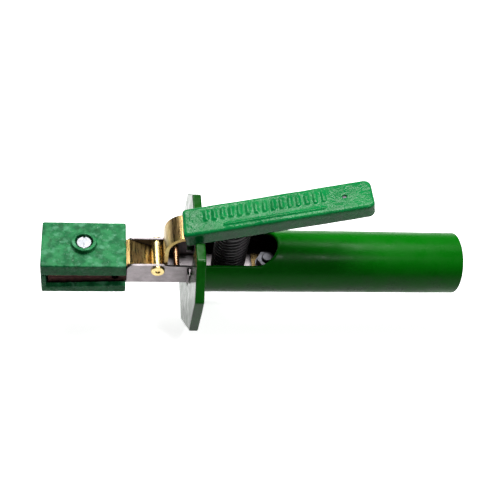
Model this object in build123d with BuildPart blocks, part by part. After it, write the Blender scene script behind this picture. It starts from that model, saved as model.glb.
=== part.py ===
"""Lever-type electrode holder for arc welding, in millimetres.

X runs from the jaws' nose to the rear of the handle, Z is up and Y is across the jaws. The origin
is the middle of the cross groove in which the jaws grip the electrode rod.
"""

import os
from math import acos, atan2, cos, hypot, radians, sin, sqrt, tan

from build123d import *

os.makedirs("parts", exist_ok=True)

# ---- Driving dimensions ----

# Clamping head
nose_x = -40.2
head_rear_x = 5.9
head_half_width = 15.8
rod_r = 2.0
jaw_gap = 0.3
jaw_front_x = -36.5
jaw_half_width = 12.5
upper_jaw_top_z = 5.1
upper_block_top_z = 13.2
lower_block_bottom_z = -9.9
nose_wall = 2.7
block_fit = 0.2
screw_x = -17.1
boss_r = 6.8
boss_height = 2.6
boss_hole_r = 4.9
rivet_xs = (-29.0, -5.5)
rivet_r = 1.5
rivet_grip = 3.4
block_screw_r = 2.0
block_screw_grip = 4.0
upper_head_r = 4.2
lower_head_r = 4.0
lower_head_depth = 2.0
driver_slot_width = 1.2
driver_slot_depth = 1.1

# Body channel, a folded steel sheet
sheet = 1.2
channel_half_width = 10.2
channel_floor_z = -7.64
channel_top_z = 7.4
wall_start_x = 6.5
wall_end_x = 49.0
tail_end_x = 99.5
tab_window = 4.4

# Pivot, and the spacer pin welded between the walls behind it
pivot_x = 23.6
pivot_z = 3.4
pivot_r = 3.2
pivot_play = 0.08
pin_head_r = 3.85
pin_dimple_r = 1.5
pin_dimple_depth = 0.7
cross_pin_x = 34.6
cross_pin_z = 0.4
cross_pin_r = 1.7

# Lever: a steel strip bent round the pivot, with a moulded grip
strip = 2.0
strip_half_width = 8.7
strip_front_x = -34.0
strip_bend_x = 8.0
rise_top_z = 17.35
bend_r = 12.0
lever_slope = 15.7
tail_half_width = 7.4
tail_run = 92.0
shoulder_run = 4.5
grip_front_x = 35.3
grip_front_z = 32.6
grip_length = 104.6
grip_half_width = 10.0
grip_depth = 9.8
grip_front_r = 2.4
grip_rear_r = 4.2
grip_edge_r = 2.0
grip_pin_r = 1.2
grip_pin_run = 89.0
grip_pin_inset = 1.0

# Guard
guard_x = 41.3
guard_depth = 5.2
guard_lean = 0.04
guard_corner_r = 1.2
guard_edge_r = 0.5
guard_half = 40.1
guard_corner = 27.0
guard_top_z = 29.5
notch_half_width = 11.75
notch_bottom_z = -9.5

# Handle tube
tube_r = 18.0
tube_bore_r = 15.0
tube_seat = 1.5
tube_rear_x = 200.4
slot_half_width = 12.0
slot_rear_x = 91.0
slot_rim_r = 1.3

# Spring under the lever
spring_x = 64.5
spring_r = 9.75
spring_wire = 1.5
spring_top_z = 27.5

# Cable terminal
thread_r = 3.0
terminal_x = 86.8
tang_depth = 3.0
socket_front_x = 101.0
socket_rear_x = 136.0
socket_r = 10.0
cable_r = 6.0
cable_depth = 30.0

# ---- Derived places ----

floor_top_z = channel_floor_z + sheet
wall_inner = channel_half_width - sheet
guard_rear_x = guard_x + guard_depth
tube_front_x = guard_rear_x - tube_seat
slot_round_x = slot_rear_x - slot_half_width
strip_top_z = upper_jaw_top_z + strip
cradle_r = pivot_r + pivot_play
slope = radians(lever_slope)
grip_plane = Plane(
    origin=(grip_front_x, 0, grip_front_z),
    x_dir=(cos(slope), 0, sin(slope)),
    z_dir=(-sin(slope), 0, cos(slope)),
)


def save(piece, name):
    """Label a finished piece and write its STEP file."""
    piece.part.label = name
    export_step(piece.part, f"parts/{name}.step")


# ---- Clamping head ----

with BuildPart() as upper_jaw:
    with BuildSketch(Plane.XZ):
        with BuildLine():
            Polyline(
                (jaw_front_x, jaw_gap / 2),
                (head_rear_x - 0.1, jaw_gap / 2),
                (head_rear_x - 0.1, upper_jaw_top_z),
                (jaw_front_x, upper_jaw_top_z),
                close=True,
            )
        make_face()
        Circle(rod_r, mode=Mode.SUBTRACT)
    extrude(amount=jaw_half_width, both=True)
    with BuildSketch(Plane.XY.offset(upper_jaw_top_z)):
        with Locations(*[(x, 0) for x in rivet_xs]):
            Circle(rivet_r)
    extrude(amount=-rivet_grip, mode=Mode.SUBTRACT)
    with BuildSketch(Plane.XY.offset(upper_jaw_top_z)):
        with Locations((screw_x, 0)):
            Circle(block_screw_r)
    extrude(amount=-block_screw_grip, mode=Mode.SUBTRACT)
save(upper_jaw, "upper_jaw")

with BuildPart() as lower_jaw:
    with BuildSketch(Plane.XZ):
        with BuildLine():
            Polyline(
                (jaw_front_x, floor_top_z),
                (head_rear_x - 0.1, floor_top_z),
                (head_rear_x - 0.1, -jaw_gap / 2),
                (jaw_front_x, -jaw_gap / 2),
                close=True,
            )
        make_face()
        Circle(rod_r, mode=Mode.SUBTRACT)
    extrude(amount=jaw_half_width, both=True)
    with BuildSketch(Plane.XY.offset(floor_top_z)):
        with Locations(*[(x, 0) for x in rivet_xs]):
            Circle(rivet_r)
    extrude(amount=rivet_grip, mode=Mode.SUBTRACT)
    with BuildSketch(Plane.XY.offset(floor_top_z)):
        with Locations((screw_x, 0)):
            Circle(block_screw_r)
    extrude(amount=block_screw_grip, mode=Mode.SUBTRACT)
save(lower_jaw, "lower_jaw")

with BuildPart() as upper_jaw_rivets:
    with BuildSketch(Plane.XY.offset(upper_jaw_top_z - rivet_grip)):
        with Locations(*[(x, 0) for x in rivet_xs]):
            Circle(rivet_r)
    extrude(amount=rivet_grip + strip)
save(upper_jaw_rivets, "upper_jaw_rivets")

with BuildPart() as lower_jaw_rivets:
    with BuildSketch(Plane.XY.offset(channel_floor_z)):
        with Locations(*[(x, 0) for x in rivet_xs]):
            Circle(rivet_r)
    extrude(amount=sheet + rivet_grip)
save(lower_jaw_rivets, "lower_jaw_rivets")

boss_top_z = upper_block_top_z + boss_height
screw_seat_z = upper_block_top_z - 0.8
pocket_front = strip_front_x - block_fit

with BuildPart() as upper_insulator:
    with BuildSketch(Plane.XY.offset(upper_jaw_top_z)):
        with Locations(((nose_x + head_rear_x) / 2, 0)):
            Rectangle(head_rear_x - nose_x, 2 * head_half_width)
    extrude(amount=upper_block_top_z - upper_jaw_top_z)
    fillet(upper_insulator.edges().filter_by(Axis.Z), 1.0)
    fillet(upper_insulator.faces().sort_by(Axis.Z)[-1].edges(), 0.6)
    with BuildSketch(Plane.XY.offset(upper_block_top_z)):
        with Locations((screw_x, 0)):
            Circle(boss_r)
    extrude(amount=boss_height)
    with BuildSketch(Plane.XY.offset(boss_top_z)):
        with Locations((screw_x, 0)):
            Circle(boss_hole_r)
    extrude(amount=screw_seat_z - boss_top_z, mode=Mode.SUBTRACT)
    with BuildSketch(Plane.XY.offset(upper_jaw_top_z)):
        with Locations((screw_x, 0)):
            Circle(block_screw_r + 0.2)
    extrude(amount=boss_height + 5, mode=Mode.SUBTRACT)
    # Pocket for the lever strip, open at the rear
    with BuildSketch(Plane.XY.offset(upper_jaw_top_z)):
        with Locations(((pocket_front + head_rear_x) / 2, 0)):
            Rectangle(head_rear_x - pocket_front, 2 * (strip_half_width + block_fit))
    extrude(amount=strip, mode=Mode.SUBTRACT)
save(upper_insulator, "upper_insulator")

with BuildPart() as lower_insulator:
    with BuildSketch(Plane.XZ):
        with BuildLine():
            Polyline(
                (nose_x, lower_block_bottom_z),
                (head_rear_x, lower_block_bottom_z),
                (head_rear_x, -3.3),
                (nose_x + nose_wall, -5.0),
                (nose_x + nose_wall, upper_jaw_top_z - 0.3),
                (nose_x, upper_jaw_top_z - 0.3),
                close=True,
            )
        make_face()
    extrude(amount=head_half_width, both=True)
    fillet(lower_insulator.edges().filter_by(Axis.Z).group_by(Axis.X)[0], 1.0)
    fillet(lower_insulator.edges().filter_by(Axis.X).group_by(Axis.Z)[0], 0.8)
    # Pocket for the lower jaw and the channel's tongue, open at the rear
    with BuildSketch(Plane.XY.offset(channel_floor_z)):
        with Locations(((nose_x + nose_wall + head_rear_x) / 2, 0)):
            Rectangle(head_rear_x - nose_x - nose_wall, 2 * (jaw_half_width + block_fit))
    extrude(amount=20, mode=Mode.SUBTRACT)
    with BuildSketch(Plane.XY.offset(lower_block_bottom_z)):
        with Locations((screw_x, 0)):
            Circle(block_screw_r)
    extrude(amount=5, mode=Mode.SUBTRACT)
    with BuildSketch(Plane.XZ):
        with BuildLine():
            Polyline(
                (screw_x, lower_block_bottom_z),
                (screw_x + lower_head_r, lower_block_bottom_z),
                (screw_x + block_screw_r, lower_block_bottom_z + lower_head_depth),
                (screw_x, lower_block_bottom_z + lower_head_depth),
                close=True,
            )
        make_face()
    revolve(axis=Axis((screw_x, 0, 0), (0, 0, 1)), mode=Mode.SUBTRACT)
save(lower_insulator, "lower_insulator")

# Slotted cheese-head screw down through the upper block and the strip into the jaw
upper_head_depth = 2.4
upper_screw_tip_z = upper_jaw_top_z - block_screw_grip
with BuildPart() as upper_insulator_screw:
    with BuildSketch(Plane.XY.offset(screw_seat_z)):
        with Locations((screw_x, 0)):
            Circle(upper_head_r)
    extrude(amount=upper_head_depth)
    chamfer(upper_insulator_screw.faces().sort_by(Axis.Z)[-1].edges(), 0.4)
    with BuildSketch(Plane.XY.offset(screw_seat_z)):
        with Locations((screw_x, 0)):
            Circle(block_screw_r)
    extrude(amount=upper_screw_tip_z - screw_seat_z)
    with BuildSketch(Plane.XY.offset(screw_seat_z + upper_head_depth)):
        with Locations((screw_x, 0)):
            Rectangle(driver_slot_width, 10)
    extrude(amount=-driver_slot_depth, mode=Mode.SUBTRACT)
save(upper_insulator_screw, "upper_insulator_screw")

# Slotted countersunk screw up through the lower block and the tongue into the jaw
with BuildPart() as lower_insulator_screw:
    with BuildSketch(Plane.XZ):
        with BuildLine():
            Polyline(
                (screw_x, lower_block_bottom_z),
                (screw_x + lower_head_r, lower_block_bottom_z),
                (screw_x + block_screw_r, lower_block_bottom_z + lower_head_depth),
                (screw_x + block_screw_r, floor_top_z + block_screw_grip),
                (screw_x, floor_top_z + block_screw_grip),
                close=True,
            )
        make_face()
    revolve(axis=Axis((screw_x, 0, 0), (0, 0, 1)))
    with BuildSketch(Plane.XY.offset(lower_block_bottom_z)):
        with Locations((screw_x, 0)):
            Rectangle(driver_slot_width, 10)
    extrude(amount=driver_slot_depth, mode=Mode.SUBTRACT)
save(lower_insulator_screw, "lower_insulator_screw")

# ---- Body channel ----

tab_x = guard_x - 0.3
tab_low_z = -3.5
tab_high_z = 4.5
tab_reach = 14.2

with BuildPart() as body_channel:
    # Side walls, with a rounded front corner and a top edge that dips towards the guard
    with BuildSketch(Plane.XZ):
        with BuildLine():
            Polyline(
                (wall_start_x + 4, channel_top_z),
                (pivot_x + 3.5, channel_top_z),
                (pivot_x + 7, channel_top_z - 0.7),
                (wall_end_x, channel_top_z - 1.2),
                (wall_end_x, channel_floor_z),
                (wall_start_x, channel_floor_z),
                (wall_start_x, channel_top_z - 4),
            )
            TangentArc(
                (wall_start_x, channel_top_z - 4),
                (wall_start_x + 4, channel_top_z),
                tangent=(0, 1),
            )
        make_face()
    extrude(amount=channel_half_width, both=True)
    with BuildSketch(Plane.YZ.offset(wall_start_x)):
        with Locations((0, floor_top_z + 10)):
            Rectangle(2 * wall_inner, 20)
    extrude(amount=wall_end_x - wall_start_x, mode=Mode.SUBTRACT)
    # Floor: the jaw's tongue in front and the terminal's tail behind
    with BuildSketch(Plane.XY.offset(channel_floor_z)):
        with Locations(((strip_front_x + tail_end_x) / 2, 0)):
            RectangleRounded(tail_end_x - strip_front_x, 2 * channel_half_width, 2)
    extrude(amount=sheet)
    # Tabs lanced outward in front of the guard, and the windows they leave
    with BuildSketch(Plane.YZ.offset(tab_x - sheet)):
        with Locations((0, (tab_low_z + tab_high_z) / 2)):
            Rectangle(2 * tab_reach, tab_high_z - tab_low_z)
            Rectangle(2 * wall_inner, tab_high_z - tab_low_z, mode=Mode.SUBTRACT)
    extrude(amount=sheet)
    with BuildSketch(Plane.XZ):
        with Locations((tab_x + tab_window / 2, (tab_low_z + tab_high_z) / 2)):
            Rectangle(tab_window, tab_high_z - tab_low_z)
        with Locations((pivot_x, pivot_z)):
            Circle(pivot_r)
    extrude(amount=channel_half_width, both=True, mode=Mode.SUBTRACT)
    with BuildSketch(Plane.XY.offset(channel_floor_z)):
        with Locations(*[(x, 0) for x in rivet_xs]):
            Circle(rivet_r)
        with Locations((screw_x, 0)):
            Circle(block_screw_r)
        with Locations((terminal_x, 0)):
            Circle(thread_r)
    extrude(amount=sheet, mode=Mode.SUBTRACT)
save(body_channel, "body_channel")

head_depth = 1.3
with BuildPart() as pivot_pin:
    with BuildSketch(Plane.XZ):
        with Locations((pivot_x, pivot_z)):
            Circle(pivot_r)
    extrude(amount=channel_half_width, both=True)
    for side in (-1, 1):
        with BuildSketch(Plane.XZ.offset(side * channel_half_width)):
            with Locations((pivot_x, pivot_z)):
                Circle(pin_head_r)
        extrude(amount=side * head_depth)
    fillet(pivot_pin.faces().sort_by(Axis.Y)[0].edges(), 0.6)
    fillet(pivot_pin.faces().sort_by(Axis.Y)[-1].edges(), 0.6)
    # Dimples left by the riveting tool
    for side in (-1, 1):
        with BuildSketch(Plane.XZ.offset(side * (channel_half_width + head_depth))):
            with Locations((pivot_x, pivot_z)):
                Circle(pin_dimple_r)
        extrude(amount=-side * pin_dimple_depth, mode=Mode.SUBTRACT)
save(pivot_pin, "pivot_pin")

with BuildPart() as cross_pin:
    with BuildSketch(Plane.XZ):
        with Locations((cross_pin_x, cross_pin_z)):
            Circle(cross_pin_r)
    extrude(amount=wall_inner, both=True)
save(cross_pin, "cross_pin")

# ---- Lever ----

# The strip's upper face: flat on the jaw, down to a tangent on the pin, round under it, up the
# front of the spring and over into the grip.
reach_x = pivot_x - strip_bend_x
drop_z = pivot_z - strip_top_z
reach = hypot(reach_x, drop_z)
down = atan2(drop_z, reach_x) - acos(sqrt(reach**2 - cradle_r**2) / reach)
tangent_run = sqrt(reach**2 - cradle_r**2)
cradle_start = (strip_bend_x + tangent_run * cos(down), strip_top_z + tangent_run * sin(down))
cradle_end = (pivot_x + cradle_r, pivot_z)
cradle_mid_angle = (down - radians(90)) / 2
cradle_mid = (
    pivot_x + cradle_r * cos(cradle_mid_angle),
    pivot_z + cradle_r * sin(cradle_mid_angle),
)
rise_x = pivot_x + cradle_r
over_end = (rise_x + bend_r - bend_r * sin(slope), rise_top_z + bend_r * cos(slope))
tail_end = (over_end[0] + tail_run * cos(slope), over_end[1] + tail_run * sin(slope))

with BuildPart() as lever_arm:
    with BuildSketch(Plane.XZ):
        with BuildLine():
            Line((strip_front_x, strip_top_z), (strip_bend_x, strip_top_z))
            Line((strip_bend_x, strip_top_z), cradle_start)
            ThreePointArc(cradle_start, cradle_mid, cradle_end)
            Line(cradle_end, (rise_x, rise_top_z))
            TangentArc((rise_x, rise_top_z), over_end, tangent=(0, 1))
            Line(over_end, tail_end)
            offset(amount=strip, side=Side.RIGHT)
        make_face()
    extrude(amount=strip_half_width, both=True)
    # The tail is narrower inside the grip
    tail_middle = grip_length / 2 + shoulder_run
    side_middle = tail_half_width + 5
    with BuildSketch(grip_plane):
        with Locations((tail_middle, side_middle), (tail_middle, -side_middle)):
            Rectangle(grip_length, 10)
    extrude(amount=-grip_depth, mode=Mode.SUBTRACT)
    with BuildSketch(Plane.XY.offset(upper_jaw_top_z)):
        with Locations(*[(x, 0) for x in rivet_xs]):
            Circle(rivet_r)
        with Locations((screw_x, 0)):
            Circle(block_screw_r)
    extrude(amount=strip, mode=Mode.SUBTRACT)
    with BuildSketch(grip_plane):
        with Locations((grip_pin_run, 0)):
            Circle(grip_pin_r)
    extrude(amount=-grip_depth, mode=Mode.SUBTRACT)
save(lever_arm, "lever_arm")

# Depth of the strip's upper face below the top of the grip
strip_depth = (grip_front_z - over_end[1] + (over_end[0] - grip_front_x) * tan(slope)) * cos(slope)

with BuildPart() as lever_grip:
    with BuildSketch(grip_plane) as grip_outline:
        with BuildLine():
            Polyline(
                (0, -grip_half_width),
                (grip_length, -grip_half_width),
                (grip_length, grip_half_width),
                (0, grip_half_width),
                close=True,
            )
        make_face()
        fillet(grip_outline.vertices().sort_by(Axis.X)[:2], grip_front_r)
        fillet(grip_outline.vertices().sort_by(Axis.X)[-2:], grip_rear_r)
    extrude(amount=-grip_depth)
    grip_normal = Axis((0, 0, 0), tuple(grip_plane.z_dir))
    fillet(lever_grip.faces().filter_by(grip_normal).edges(), grip_edge_r)
    # Pocket for the strip: full width at the mouth, narrow beyond the shoulder
    with BuildSketch(grip_plane.offset(-strip_depth)):
        with Locations((tail_run / 2, 0)):
            Rectangle(tail_run + 1.0, 2 * tail_half_width)
        with Locations((shoulder_run / 2, 0)):
            Rectangle(shoulder_run, 2 * strip_half_width)
    extrude(amount=-strip, mode=Mode.SUBTRACT)
    with BuildSketch(grip_plane):
        with Locations((grip_pin_run, 0)):
            Circle(grip_pin_r)
    extrude(amount=-grip_depth, mode=Mode.SUBTRACT)
save(lever_grip, "lever_grip")

with BuildPart() as grip_pin:
    with BuildSketch(grip_plane.offset(-grip_pin_inset)):
        with Locations((grip_pin_run, 0)):
            Circle(grip_pin_r)
    extrude(amount=grip_pin_inset + 0.6 - grip_depth)
save(grip_pin, "grip_pin")

# ---- Spring between the channel's floor and the grip ----

seat_depth = 1.0
seat_boss_height = 2.0
stud_r = 6.0
stud_height = 2.0
spring_bottom_z = floor_top_z + seat_depth
spring_run = (spring_x - grip_front_x) / cos(slope) + grip_depth * tan(slope)

with BuildPart() as spring_seat:
    with BuildSketch(Plane.XY.offset(floor_top_z)):
        with Locations((spring_x, 0)):
            Circle(spring_r)
    extrude(amount=seat_depth)
    with BuildSketch(Plane.XY.offset(spring_bottom_z)):
        with Locations((spring_x, 0)):
            Circle(spring_r - spring_wire - 1.0)
    extrude(amount=seat_boss_height)
save(spring_seat, "spring_seat")

with BuildPart() as lever_spring:
    with BuildSketch(Plane.XY.offset(spring_bottom_z)):
        with Locations((spring_x, 0)):
            Circle(spring_r)
            Circle(spring_r - spring_wire, mode=Mode.SUBTRACT)
    extrude(amount=spring_top_z - spring_bottom_z)
save(lever_spring, "lever_spring")

with BuildPart() as spring_stud:
    with BuildSketch(grip_plane.offset(-grip_depth)):
        with Locations((spring_run, 0)):
            Circle(stud_r)
    extrude(amount=-stud_height)
    fillet(spring_stud.edges().sort_by(Axis.Z)[0], 0.5)
save(spring_stud, "spring_stud")

# ---- Guard ----

corner = guard_half - guard_corner
lean_reach = guard_half + 5.0

with BuildPart() as guard_plate:
    with BuildSketch(Plane.YZ.offset(guard_x + guard_depth / 2)):
        with BuildLine():
            Polyline(
                (-guard_half, -corner),
                (-corner, -guard_half),
                (corner, -guard_half),
                (guard_half, -corner),
                (guard_half, corner),
                (guard_half + corner - guard_top_z, guard_top_z),
                (-guard_half - corner + guard_top_z, guard_top_z),
                (-guard_half, corner),
                close=True,
            )
        guard_outline = make_face()
        fillet(guard_outline.vertices(), guard_corner_r)
        with BuildLine():
            Polyline(
                (-notch_half_width, guard_top_z + 1),
                (-notch_half_width, notch_bottom_z),
                (notch_half_width, notch_bottom_z),
                (notch_half_width, guard_top_z + 1),
                close=True,
            )
        make_face(mode=Mode.SUBTRACT)
    extrude(amount=guard_depth, both=True)
    # Both faces lean a little, with the top towards the handle
    with BuildSketch(Plane.XZ):
        with BuildLine():
            Polyline(
                (guard_x - guard_lean * lean_reach, -lean_reach),
                (guard_x + guard_depth - guard_lean * lean_reach, -lean_reach),
                (guard_x + guard_depth + guard_lean * lean_reach, lean_reach),
                (guard_x + guard_lean * lean_reach, lean_reach),
                close=True,
            )
        make_face()
    extrude(amount=2 * guard_half, both=True, mode=Mode.INTERSECT)
    fillet(guard_plate.faces().sort_by(Axis.X)[0].edges(), guard_edge_r)
    fillet(guard_plate.faces().sort_by(Axis.X)[-1].edges(), guard_edge_r)
    # Seat for the front of the handle tube
    with BuildSketch(Plane.YZ.offset(tube_front_x)):
        Circle(tube_r)
    extrude(amount=2 * tube_seat, mode=Mode.SUBTRACT)
save(guard_plate, "guard_plate")

# ---- Handle ----

handle_screw_head_r = 4.5
handle_screw_r = 2.5
handle_screw_top_z = -17.3
saddle_top_z = channel_floor_z

# A countersunk screw's profile: head down, shank up into the saddle
handle_screw_side = [
    (spring_x, handle_screw_top_z),
    (spring_x + handle_screw_head_r, handle_screw_top_z),
    (spring_x + handle_screw_r, handle_screw_top_z + 2.0),
    (spring_x + handle_screw_r, saddle_top_z - 1.5),
    (spring_x, saddle_top_z - 1.5),
]
screw_axis = Axis((spring_x, 0, 0), (0, 0, 1))

with BuildPart() as handle_tube:
    with BuildSketch(Plane.YZ.offset(tube_front_x)):
        Circle(tube_r)
        Circle(tube_bore_r, mode=Mode.SUBTRACT)
    extrude(amount=tube_rear_x - tube_front_x)
    fillet(handle_tube.edges().filter_by(GeomType.CIRCLE).group_by(Axis.X)[-1], 0.8)
    # Slot in the top for the spring, with a full-radius rear end
    with BuildSketch(Plane.XY):
        with Locations(((tube_front_x + slot_round_x) / 2, 0)):
            Rectangle(slot_round_x - tube_front_x, 2 * slot_half_width)
        with Locations((slot_round_x, 0)):
            Circle(slot_half_width)
    extrude(amount=tube_r + 1, mode=Mode.SUBTRACT)
    with BuildSketch(Plane.XZ):
        with BuildLine():
            Polyline(*handle_screw_side, close=True)
        make_face()
    revolve(axis=screw_axis, mode=Mode.SUBTRACT)
    with BuildSketch(Plane.XY.offset(handle_screw_top_z)):
        with Locations((spring_x, 0)):
            Circle(handle_screw_head_r)
    extrude(amount=-2, mode=Mode.SUBTRACT)
    # The slot's outer rim is eased
    slot_rim = handle_tube.edges().filter_by_position(Axis.Z, 0, tube_r + 1)
    slot_rim = slot_rim.filter_by_position(Axis.X, tube_front_x + 1, slot_rear_x + 1)
    fillet([edge for edge in slot_rim if hypot((edge @ 0.5).Y, (edge @ 0.5).Z) > tube_r - 0.1], slot_rim_r)
save(handle_tube, "handle_tube")

with BuildPart() as handle_screw:
    with BuildSketch(Plane.XZ):
        with BuildLine():
            Polyline(*handle_screw_side, close=True)
        make_face()
    revolve(axis=screw_axis)
    with BuildSketch(Plane.XY.offset(handle_screw_top_z)):
        with Locations((spring_x, 0)):
            Rectangle(12, driver_slot_width)
    extrude(amount=driver_slot_depth, mode=Mode.SUBTRACT)
save(handle_screw, "handle_screw")

# Block under the channel that the handle screw pulls against the tube's wall
saddle_length = 15.0
with BuildPart() as saddle_block:
    with BuildSketch(Plane.YZ.offset(spring_x - saddle_length / 2)):
        Circle(tube_bore_r - 0.05)
        with Locations((0, saddle_top_z + 20)):
            Rectangle(60, 40, mode=Mode.SUBTRACT)
        with Locations((28, 0), (-28, 0)):
            Rectangle(40, 60, mode=Mode.SUBTRACT)
    extrude(amount=saddle_length)
    with BuildSketch(Plane.XY.offset(saddle_top_z - 1.5)):
        with Locations((spring_x, 0)):
            Circle(handle_screw_r)
    extrude(amount=-10, mode=Mode.SUBTRACT)
save(saddle_block, "saddle_block")

# ---- Cable terminal inside the handle ----

nut_across_flats = 10.0
washer_depth = 1.2
nut_depth = 4.2
washer_r = 6.2
bolt_head_depth = 3.8
bolt_tip = 1.8
set_screw_length = 4.5
tang_top_z = floor_top_z + tang_depth
washer_top_z = tang_top_z + washer_depth
set_screw_xs = (socket_rear_x - 21.0, socket_rear_x - 9.0)

with BuildPart() as cable_socket:
    with BuildSketch(Plane.YZ.offset(socket_front_x)):
        Circle(socket_r)
    extrude(amount=socket_rear_x - socket_front_x)
    chamfer(cable_socket.edges().filter_by(GeomType.CIRCLE), 0.8)
    with BuildSketch(Plane.XY.offset(floor_top_z)):
        with Locations(((terminal_x - 8 + socket_front_x + 3) / 2, 0)):
            Rectangle(socket_front_x + 11 - terminal_x, 16)
    extrude(amount=tang_depth)
    with BuildSketch(Plane.YZ.offset(socket_rear_x)):
        Circle(cable_r)
    extrude(amount=-cable_depth, mode=Mode.SUBTRACT)
    with BuildSketch(Plane.XY):
        with Locations(*[(x, 0) for x in set_screw_xs]):
            Circle(thread_r)
    extrude(amount=socket_r + 1, mode=Mode.SUBTRACT)
    with BuildSketch(Plane.XY.offset(floor_top_z)):
        with Locations((terminal_x, 0)):
            Circle(thread_r)
    extrude(amount=tang_depth, mode=Mode.SUBTRACT)
save(cable_socket, "cable_socket")

with BuildPart() as socket_set_screws:
    with BuildSketch(Plane.XY.offset(cable_r + 0.3)):
        with Locations(*[(x, 0) for x in set_screw_xs]):
            Circle(thread_r)
    extrude(amount=set_screw_length)
    with BuildSketch(Plane.XY.offset(cable_r + 0.3 + set_screw_length)):
        with Locations(*[(x, 0) for x in set_screw_xs]):
            RegularPolygon(1.5, 6)
    extrude(amount=-2.2, mode=Mode.SUBTRACT)
save(socket_set_screws, "socket_set_screws")

with BuildPart() as terminal_bolt:
    with BuildSketch(Plane.XY.offset(channel_floor_z)):
        with Locations((terminal_x, 0)):
            RegularPolygon(nut_across_flats / 2, 6, major_radius=False)
    extrude(amount=-bolt_head_depth)
    with BuildSketch(Plane.XY.offset(channel_floor_z)):
        with Locations((terminal_x, 0)):
            Circle(thread_r)
    extrude(amount=washer_top_z + nut_depth + bolt_tip - channel_floor_z)
    chamfer(terminal_bolt.faces().sort_by(Axis.Z)[-1].edges(), 0.5)
save(terminal_bolt, "terminal_bolt")

with BuildPart() as terminal_washer:
    with BuildSketch(Plane.XY.offset(tang_top_z)):
        with Locations((terminal_x, 0)):
            Circle(washer_r)
            Circle(thread_r, mode=Mode.SUBTRACT)
    extrude(amount=washer_depth)
save(terminal_washer, "terminal_washer")

with BuildPart() as terminal_nut:
    with BuildSketch(Plane.XY.offset(washer_top_z)):
        with Locations((terminal_x, 0)):
            RegularPolygon(nut_across_flats / 2, 6, major_radius=False)
    extrude(amount=nut_depth)
    with BuildSketch(Plane.XY.offset(washer_top_z)):
        with Locations((terminal_x, 0)):
            Circle(thread_r)
    extrude(amount=nut_depth, mode=Mode.SUBTRACT)
save(terminal_nut, "terminal_nut")
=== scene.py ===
"""Looks of a lever-type electrode holder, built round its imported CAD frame, in metres."""

import math

import bmesh
import bpy
from mathutils import Matrix, Vector, noise


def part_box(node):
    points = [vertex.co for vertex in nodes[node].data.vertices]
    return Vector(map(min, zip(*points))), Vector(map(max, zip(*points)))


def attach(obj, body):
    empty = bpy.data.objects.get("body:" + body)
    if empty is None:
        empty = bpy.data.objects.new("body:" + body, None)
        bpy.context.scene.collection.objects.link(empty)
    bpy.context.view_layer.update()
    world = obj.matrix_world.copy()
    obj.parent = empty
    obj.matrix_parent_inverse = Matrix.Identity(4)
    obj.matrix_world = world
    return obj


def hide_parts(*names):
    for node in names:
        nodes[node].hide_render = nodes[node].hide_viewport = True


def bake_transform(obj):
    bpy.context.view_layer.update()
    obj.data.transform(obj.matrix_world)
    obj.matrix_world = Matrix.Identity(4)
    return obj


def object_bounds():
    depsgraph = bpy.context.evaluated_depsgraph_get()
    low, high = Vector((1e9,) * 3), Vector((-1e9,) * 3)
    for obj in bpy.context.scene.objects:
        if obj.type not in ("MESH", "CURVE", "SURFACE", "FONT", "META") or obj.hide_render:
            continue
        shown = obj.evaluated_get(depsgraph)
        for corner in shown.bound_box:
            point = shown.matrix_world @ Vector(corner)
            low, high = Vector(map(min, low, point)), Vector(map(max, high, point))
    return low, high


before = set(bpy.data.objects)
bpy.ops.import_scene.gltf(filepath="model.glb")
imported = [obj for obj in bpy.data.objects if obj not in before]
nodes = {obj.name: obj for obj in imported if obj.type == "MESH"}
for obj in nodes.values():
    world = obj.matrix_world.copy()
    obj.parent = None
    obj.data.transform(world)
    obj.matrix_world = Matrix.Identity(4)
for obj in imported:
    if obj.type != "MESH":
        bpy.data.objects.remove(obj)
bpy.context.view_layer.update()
MM = 0.001
TUBE_INSIDE = 15.4 * MM
GRIP_SLOPE = math.radians(15.7)
GRIP_DEPTH = 9.8 * MM


# ---- Camera, floor and lights ----


def add_camera():
    """A viewpoint at the front left, high up, rolled a little clockwise, aimed behind the pivot."""
    azimuth = math.radians(-14.86)
    elevation = math.radians(49.98)
    roll = math.radians(12.2)
    distance = 515.27 * MM
    low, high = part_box("pivot_pin")
    pivot = (low + high) / 2
    target = pivot + Vector((52.34 * MM, 0, 6.37 * MM))
    back = Vector(
        (
            math.sin(azimuth) * math.cos(elevation),
            -math.cos(azimuth) * math.cos(elevation),
            math.sin(elevation),
        )
    )
    level_right = (-back).cross(Vector((0, 0, 1))).normalized()
    level_up = level_right.cross(-back)
    right = level_right * math.cos(roll) + level_up * math.sin(roll)
    up = level_up * math.cos(roll) - level_right * math.sin(roll)
    camera = bpy.data.objects.new("camera", bpy.data.cameras.new("camera"))
    bpy.context.scene.collection.objects.link(camera)
    turn = Matrix((right, up, back)).transposed().to_4x4()
    camera.matrix_world = Matrix.Translation(target + back * distance) @ turn
    camera.data.sensor_width = 36
    camera.data.lens = 65.07
    camera.data.clip_start = 0.01
    bpy.context.scene.camera = camera


def add_area_light(name, aim, offset, size, power):
    """A white rectangular light at offset from aim, shining at aim."""
    place = aim + Vector(offset)
    light = bpy.data.objects.new(name, bpy.data.lights.new(name, "AREA"))
    bpy.context.scene.collection.objects.link(light)
    light.location = place
    light.rotation_euler = (aim - place).to_track_quat("-Z", "Y").to_euler()
    light.data.shape = "RECTANGLE"
    light.data.size, light.data.size_y = size
    light.data.energy = power


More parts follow.
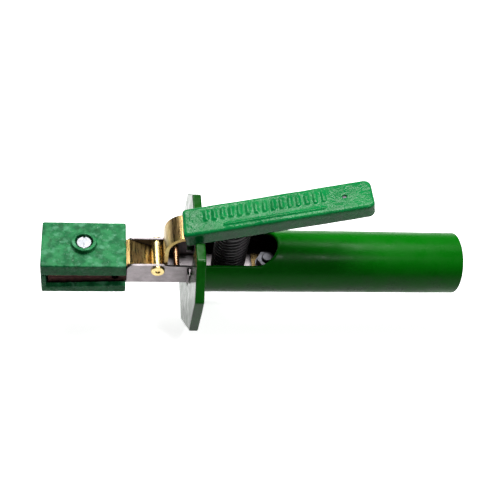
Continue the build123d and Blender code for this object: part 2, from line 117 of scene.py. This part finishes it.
def add_floor(middle, height):
    """A wide white floor at height, pale enough to hide most of the shadow."""
    mesh = bpy.data.meshes.new("floor")
    floor_mesh = bmesh.new()
    bmesh.ops.create_grid(floor_mesh, x_segments=2, y_segments=2, size=6)
    floor_mesh.to_mesh(mesh)
    floor_mesh.free()
    floor = bpy.data.objects.new("floor", mesh)
    floor.location = (middle.x, 0, height)
    bpy.context.scene.collection.objects.link(floor)
    paint = bpy.data.materials.new("floor_white")
    paint.use_nodes = True
    shader = paint.node_tree.nodes["Principled BSDF"]
    shader.inputs["Base Color"].default_value = (0.93, 0.93, 0.93, 1)
    shader.inputs["Roughness"].default_value = 0.9
    shader.inputs["Specular IOR Level"].default_value = 0.1
    shader.inputs["Emission Color"].default_value = (1, 1, 1, 1)
    shader.inputs["Emission Strength"].default_value = 0.82
    floor.data.materials.append(paint)
    floor.visible_diffuse = False


def add_studio():
    """A floor under the guard's lower edge, a dim even surround and three lights."""
    low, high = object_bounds()
    middle = (low + high) / 2
    add_floor(middle, low.z)
    world = bpy.data.worlds.new("surround")
    world.use_nodes = True
    world.node_tree.nodes["Background"].inputs["Color"].default_value = (1, 1, 1, 1)
    world.node_tree.nodes["Background"].inputs["Strength"].default_value = 0.05
    bpy.context.scene.world = world
    add_area_light("key", middle, offset=(0.05, 0.30, 0.80), size=(0.6, 0.35), power=9.0)
    add_area_light("card", middle, offset=(-0.32, 0.64, 0.72), size=(0.16, 0.30), power=2.2)
    add_area_light("front", middle, offset=(0.17, -0.30, 0.64), size=(0.10, 0.025), power=0.95)
    bpy.context.scene.view_settings.view_transform = "Standard"


# ---- Materials ----


class Surface:
    """A Principled material built up from object-space noise layers."""

    def __init__(self, name, base, roughness, metallic=0.0, specular=0.5):
        self.material = bpy.data.materials.new(name)
        self.material.use_nodes = True
        self.tree = self.material.node_tree
        self.shader = self.tree.nodes["Principled BSDF"]
        self.shader.inputs["Roughness"].default_value = roughness
        self.shader.inputs["Metallic"].default_value = metallic
        self.shader.inputs["Specular IOR Level"].default_value = specular
        self.place = self.tree.nodes.new("ShaderNodeTexCoord").outputs["Object"]
        self.colour = self.tree.nodes.new("ShaderNodeRGB").outputs[0]
        self.colour.default_value = (*base, 1)
        self.rough = None
        self.height = None
        self.base_rough = roughness

    def noise(self, size, stretch=(1, 1, 1), detail=6.0, low=0.4, high=0.6):
        """A noise mask whose blobs are about size metres across, sharpened between low and high."""
        mapping = self.tree.nodes.new("ShaderNodeMapping")
        mapping.inputs["Scale"].default_value = stretch
        self.tree.links.new(self.place, mapping.inputs["Vector"])
        texture = self.tree.nodes.new("ShaderNodeTexNoise")
        texture.inputs["Scale"].default_value = 1 / size
        texture.inputs["Detail"].default_value = detail
        texture.inputs["Roughness"].default_value = 0.6
        self.tree.links.new(mapping.outputs[0], texture.inputs["Vector"])
        limits = self.tree.nodes.new("ShaderNodeMapRange")
        limits.inputs["From Min"].default_value = low
        limits.inputs["From Max"].default_value = high
        self.tree.links.new(texture.outputs["Fac"], limits.inputs["Value"])
        return limits.outputs[0]

    def inside(self, radius):
        """A mask of what lies nearer to the handle's axis than radius."""
        parts = self.tree.nodes.new("ShaderNodeVectorMath")
        parts.operation = "MULTIPLY"
        parts.inputs[1].default_value = (0, 1, 1)
        self.tree.links.new(self.place, parts.inputs[0])
        length = self.tree.nodes.new("ShaderNodeVectorMath")
        length.operation = "LENGTH"
        self.tree.links.new(parts.outputs[0], length.inputs[0])
        nearer = self.tree.nodes.new("ShaderNodeMath")
        nearer.operation = "LESS_THAN"
        nearer.inputs[1].default_value = radius
        self.tree.links.new(length.outputs["Value"], nearer.inputs[0])
        return nearer.outputs[0]

    def scaled(self, mask, amount):
        """The mask times amount."""
        scale = self.tree.nodes.new("ShaderNodeMath")
        scale.operation = "MULTIPLY"
        scale.inputs[1].default_value = amount
        self.tree.links.new(mask, scale.inputs[0])
        return scale.outputs[0]

    def tint(self, mask, colour, amount=1.0):
        """Mix colour over the base where mask is high."""
        mix = self.tree.nodes.new("ShaderNodeMix")
        mix.data_type = "RGBA"
        self.tree.links.new(self.scaled(mask, amount), mix.inputs["Factor"])
        self.tree.links.new(self.colour, mix.inputs[6])
        mix.inputs[7].default_value = (*colour, 1)
        self.colour = mix.outputs[2]

    def roughen(self, mask, change):
        """Add change to the roughness where mask is high."""
        add = self.tree.nodes.new("ShaderNodeMath")
        add.operation = "ADD"
        add.use_clamp = True
        self.tree.links.new(self.scaled(mask, change), add.inputs[0])
        if self.rough is None:
            add.inputs[1].default_value = self.base_rough
        else:
            self.tree.links.new(self.rough, add.inputs[1])
        self.rough = add.outputs[0]

    def relief(self, mask, depth):
        """Raise the surface by depth metres where mask is high."""
        height = self.scaled(mask, depth)
        if self.height is not None:
            add = self.tree.nodes.new("ShaderNodeMath")
            add.operation = "ADD"
            self.tree.links.new(height, add.inputs[0])
            self.tree.links.new(self.height, add.inputs[1])
            height = add.outputs[0]
        self.height = height

    def finish(self):
        """Join the layers to the shader and give back the material."""
        self.tree.links.new(self.colour, self.shader.inputs["Base Color"])
        if self.rough is not None:
            self.tree.links.new(self.rough, self.shader.inputs["Roughness"])
        if self.height is not None:
            bump = self.tree.nodes.new("ShaderNodeBump")
            bump.inputs["Distance"].default_value = 1.0
            self.tree.links.new(self.height, bump.inputs["Height"])
            self.tree.links.new(bump.outputs[0], self.shader.inputs["Normal"])
        return self.material


def tube_green():
    """Glossy deep green plastic, with its bore darkened as painted shade."""
    s = Surface("tube_green", (0.001, 0.128, 0.002), 0.26, specular=0.08)
    s.tint(s.noise(0.03, (0.4, 1, 1)), (0.002, 0.165, 0.003), 0.6)
    s.tint(s.noise(0.0016, (0.25, 1, 1), low=0.64, high=0.76), (0.012, 0.25, 0.02), 0.35)
    s.roughen(s.noise(0.010), 0.14)
    s.relief(s.noise(0.02, (0.3, 1, 1), 3, 0.3, 0.7), 0.00008)
    s.relief(s.noise(0.0009, detail=2, low=0.3, high=0.7), 0.000004)
    # painted shade: everything inside the tube's inner radius is tinted near-black
    s.tint(s.inside(TUBE_INSIDE), (0.010, 0.007, 0.009))
    return s.finish()


def guard_green():
    """Smooth dark green moulding."""
    s = Surface("guard_green", (0.002, 0.070, 0.002), 0.14, specular=0.20)
    s.tint(s.noise(0.02), (0.010, 0.17, 0.012), 0.6)
    s.roughen(s.noise(0.008), 0.12)
    s.relief(s.noise(0.015, detail=3, low=0.3, high=0.7), 0.00008)
    return s.finish()


def grip_green():
    """Bright glossy green with a slightly rippled skin."""
    s = Surface("grip_green", (0.001, 0.18, 0.040), 0.16, specular=0.20)
    s.tint(s.noise(0.016), (0.006, 0.27, 0.062), 0.6)
    s.tint(s.noise(0.0012, low=0.64, high=0.78), (0.07, 0.46, 0.20), 0.3)
    s.roughen(s.noise(0.006), 0.15)
    s.relief(s.noise(0.0045, detail=3, low=0.3, high=0.7), 0.00022)
    s.relief(s.noise(0.0012, detail=2, low=0.3, high=0.7), 0.00002)
    return s.finish()


def head_green():
    """Mottled, scuffed green moulding."""
    s = Surface("head_green", (0.004, 0.130, 0.038), 0.38, specular=0.12)
    s.tint(s.noise(0.007, low=0.42, high=0.58), (0.028, 0.26, 0.085), 0.85)
    s.tint(s.noise(0.0042, (0.8, 1, 1), low=0.52, high=0.66), (0.11, 0.37, 0.20), 0.75)
    s.tint(s.noise(0.0050, (1, 0.7, 1), low=0.55, high=0.66), (0.004, 0.090, 0.024), 0.75)
    s.tint(s.noise(0.0008, low=0.64, high=0.72), (0.40, 0.58, 0.46), 0.7)
    s.roughen(s.noise(0.002), 0.2)
    s.relief(s.noise(0.003, detail=5, low=0.3, high=0.7), 0.00014)
    return s.finish()


def zinc_steel(name="zinc_steel", base=(0.30, 0.27, 0.28), roughness=0.36):
    """Plated steel with a brushed grain."""
    s = Surface(name, base, roughness, metallic=1.0)
    s.tint(s.noise(0.006), tuple(0.75 * c for c in base), 0.8)
    s.tint(s.noise(0.0014, low=0.60, high=0.72), tuple(0.5 * c for c in base), 0.7)
    s.roughen(s.noise(0.0008, (0.15, 1, 1)), 0.18)
    s.relief(s.noise(0.0006, (0.1, 1, 1), 3, 0.3, 0.7), 0.000012)
    return s.finish()


def gold_steel():
    """Yellow-passivated steel with brown and olive patches."""
    s = Surface("gold_steel", (0.27, 0.195, 0.065), 0.22, metallic=1.0)
    s.tint(s.noise(0.010), (0.40, 0.24, 0.12), 0.6)
    s.tint(s.noise(0.005, low=0.5, high=0.7), (0.38, 0.36, 0.14), 0.7)
    s.tint(s.noise(0.0012, low=0.62, high=0.74), (0.14, 0.09, 0.04), 0.6)
    s.roughen(s.noise(0.0008, (1, 0.1, 1)), 0.2)
    s.relief(s.noise(0.0006, (1, 0.1, 1), 3, 0.3, 0.7), 0.000012)
    return s.finish()


def brass(name, base):
    """Turned brass or copper with tarnish."""
    s = Surface(name, base, 0.24, metallic=1.0)
    s.tint(s.noise(0.003), tuple(0.7 * c for c in base), 0.6)
    s.tint(s.noise(0.0009, low=0.6, high=0.72), tuple(0.35 * c for c in base), 0.6)
    s.roughen(s.noise(0.001), 0.15)
    s.relief(s.noise(0.0007, (1, 1, 0.2), 3, 0.3, 0.7), 0.00001)
    return s.finish()


def jaw_copper():
    """Dark, burnt copper alloy."""
    s = Surface("jaw_copper", (0.060, 0.026, 0.024), 0.42, metallic=1.0)
    s.tint(s.noise(0.003), (0.022, 0.010, 0.010), 0.8)
    s.tint(s.noise(0.001, low=0.60, high=0.72), (0.36, 0.17, 0.10), 0.6)
    s.roughen(s.noise(0.001), 0.25)
    s.relief(s.noise(0.0012, detail=5, low=0.3, high=0.7), 0.00008)
    return s.finish()


def black_wire():
    """Oiled black spring wire."""
    s = Surface("black_wire", (0.010, 0.008, 0.011), 0.28, metallic=0.2, specular=0.6)
    s.tint(s.noise(0.003), (0.022, 0.014, 0.018), 0.6)
    s.roughen(s.noise(0.001), 0.2)
    return s.finish()


# ---- Pieces built here ----


def add_piece(name, mesh, material):
    """Put a finished mesh in the scene as a smooth piece."""
    data = bpy.data.meshes.new(name)
    mesh.to_mesh(data)
    mesh.free()
    data.shade_smooth()
    data.materials.append(material)
    piece = bpy.data.objects.new(name, data)
    bpy.context.scene.collection.objects.link(piece)
    return piece


def sweep(points, radius, sides):
    """A closed round wire along points."""
    mesh = bmesh.new()
    rings = []
    normal = Vector((0, 0, 1))
    for i, point in enumerate(points):
        ahead = points[min(i + 1, len(points) - 1)] - points[max(i - 1, 0)]
        tangent = ahead.normalized()
        normal = (normal - tangent * normal.dot(tangent)).normalized()
        side = tangent.cross(normal)
        ring = []
        for k in range(sides):
            turn = 2 * math.pi * k / sides
            ring.append(
                mesh.verts.new(point + (normal * math.cos(turn) + side * math.sin(turn)) * radius)
            )
        rings.append(ring)
    for ring, following in zip(rings, rings[1:]):
        for k in range(sides):
            j = (k + 1) % sides
            mesh.faces.new((ring[k], following[k], following[j], ring[j]))
    mesh.faces.new(rings[0])
    mesh.faces.new(reversed(rings[-1]))
    bmesh.ops.recalc_face_normals(mesh, faces=mesh.faces)
    return mesh


def add_spring(material):
    """A close coil from its seat to the grip's slanted underside, with its end turns closed.
    """
    low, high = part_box("lever_spring")
    centre = (low + high) / 2
    wire_r = 0.7 * MM
    coil_r = (high.x - low.x) / 2 - wire_r
    turns, steps, sides = 15, 32, 10
    closed_pitch = 0.06
    rise = math.tan(GRIP_SLOPE)
    top_z = high.z + (high.x - centre.x) * rise - wire_r
    points = []
    for i in range(turns * steps + 1):
        turn = 2 * math.pi * i / steps
        along = i / (turns * steps)
        flat = 1 / turns
        share = min(max((along - flat) / (1 - 2 * flat), 0), 1) * (1 - closed_pitch) + along * closed_pitch
        x = coil_r * math.cos(turn)
        lean = share * x * rise
        z = low.z + wire_r + share * (top_z - low.z - wire_r) + lean
        points.append(Vector((centre.x + x, coil_r * math.sin(turn), z)))
    spring = add_piece("spring_coil", sweep(points, wire_r, sides), material)
    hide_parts("lever_spring")
    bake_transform(spring)


def wobble(point, size, seed):
    """Smooth noise from -1 to 1 with blobs of about size metres."""
    return noise.noise(point / size + Vector((seed, 2 * seed, 3 * seed)))


def add_moulding(name, node, body, material, voxel, extra=None, wave=0.0, chips=0.0, rounds=3):
    """A moulded piece in a CAD node's shape: softened edges, a slightly uneven skin and small chips.

    extra is a mesh of raised detail that is fused into the skin. wave and chips are depths in metres,
    and rounds is how often the edges are softened.
    """
    wave_size = 12 * MM
    chip_size = 2.2 * MM
    chip_threshold = 0.15
    flat_face = 0.96
    mesh = bmesh.new()
    mesh.from_mesh(nodes[node].data)
    if extra is not None:
        mesh.from_mesh(extra)
    data = bpy.data.meshes.new(name)
    mesh.to_mesh(data)
    mesh.free()
    piece = bpy.data.objects.new(name, data)
    bpy.context.scene.collection.objects.link(piece)
    remesh = piece.modifiers.new("skin", "REMESH")
    remesh.mode = "VOXEL"
    remesh.voxel_size = voxel
    soften = piece.modifiers.new("soften", "SMOOTH")
    soften.factor = 0.5
    soften.iterations = rounds
    graph = bpy.context.evaluated_depsgraph_get()
    made = bpy.data.meshes.new_from_object(piece.evaluated_get(graph))
    piece.modifiers.clear()
    piece.data = made
    normals = [vertex.normal.copy() for vertex in made.vertices]
    for vertex, normal in zip(made.vertices, normals):
        bend = wobble(vertex.co, wave_size, 3.0) * wave
        bite = 0.0
        if max(abs(normal.x), abs(normal.y), abs(normal.z)) < flat_face:
            bite = max(0.0, wobble(vertex.co, chip_size, 7.0) - chip_threshold) * chips
        vertex.co += normal * (bend - bite)
    made.shade_smooth()
    made.materials.clear()
    made.materials.append(material)
    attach(piece, body)
    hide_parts(node)


def grip_frame():
    """Origin, run direction and outward normal of the grip's top face."""
    low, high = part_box("lever_grip")
    run = Vector((math.cos(GRIP_SLOPE), 0, math.sin(GRIP_SLOPE)))
    out = Vector((-math.sin(GRIP_SLOPE), 0, math.cos(GRIP_SLOPE)))
    origin = Vector((low.x, 0, low.z + GRIP_DEPTH * math.cos(GRIP_SLOPE)))
    return origin, run, out


def add_bar(mesh, centre, axes, size):
    """Add one rectangular bar to mesh."""
    bar = bmesh.ops.create_cube(mesh, size=1)["verts"]
    shape = Matrix.Diagonal((*size, 1))
    bmesh.ops.transform(mesh, matrix=Matrix.Translation(centre) @ axes @ shape, verts=bar)


def grip_ribs():
    """Shallow raised bars on the grip's top face: a row across it and one thin bar along it."""
    origin, run, out = grip_frame()
    axes = Matrix((run, Vector((0, 1, 0)), out)).transposed().to_4x4()
    height = 0.8 * MM
    rib_first, rib_last, rib_pitch, rib_y = 13 * MM, 79 * MM, 4.6 * MM, 1.9 * MM
    rib_size = (1.8 * MM, 7.0 * MM, height)
    line_runs, line_y = (36 * MM, 64 * MM), -6.0 * MM
    line_size = (27.0 * MM, 0.9 * MM, height)
    mesh = bmesh.new()
    for i in range(int((rib_last - rib_first) / rib_pitch) + 1):
        centre = origin + run * (rib_first + i * rib_pitch) + Vector((0, rib_y, 0))
        add_bar(mesh, centre, axes, rib_size)
    for at in line_runs:
        add_bar(mesh, origin + run * at + Vector((0, line_y, 0)), axes, line_size)
    data = bpy.data.meshes.new("ribs")
    mesh.to_mesh(data)
    mesh.free()
    return data


def dress(material, *names):
    """Give CAD nodes their finish."""
    for name in names:
        data = nodes[name].data
        data.materials.clear()
        data.materials.append(material)


add_camera()
add_studio()

zinc = zinc_steel()
bright = zinc_steel("bright_zinc", (0.30, 0.31, 0.33), 0.32)
dull = zinc_steel("dull_zinc", (0.09, 0.09, 0.10), 0.30)
dark = zinc_steel("dark_steel", (0.10, 0.10, 0.11))
dress(tube_green(), "handle_tube")
dress(zinc, "body_channel", "spring_seat", "spring_stud", "saddle_block", "upper_jaw_rivets")
dress(bright, "lower_insulator_screw", "upper_insulator_screw", "handle_screw")
dress(dull, "terminal_bolt", "terminal_washer", "terminal_nut")
dress(dark, "grip_pin", "socket_set_screws", "lower_jaw_rivets")
dress(gold_steel(), "lever_arm")
dress(brass("pin_brass", (0.80, 0.62, 0.28)), "pivot_pin")
dress(brass("pin_copper", (0.62, 0.34, 0.18)), "cross_pin")
dress(brass("socket_brass", (0.14, 0.095, 0.04)), "cable_socket")
dress(jaw_copper(), "upper_jaw", "lower_jaw")

add_spring(black_wire())
add_moulding(
    "lever_grip_skin",
    "lever_grip",
    "lever",
    grip_green(),
    voxel=0.42 * MM,
    extra=grip_ribs(),
    wave=0.16 * MM,
    rounds=8,
)
add_moulding(
    "guard_skin",
    "guard_plate",
    "frame",
    guard_green(),
    voxel=0.5 * MM,
    wave=0.12 * MM,
)
green_head = head_green()
for skin, node, body in (
    ("upper_head_block", "upper_insulator", "lever"),
    ("lower_head_block", "lower_insulator", "frame"),
):
    add_moulding(
        skin,
        node,
        body,
        green_head,
        voxel=0.35 * MM,
        wave=0.08 * MM,
        chips=0.9 * MM,
    )
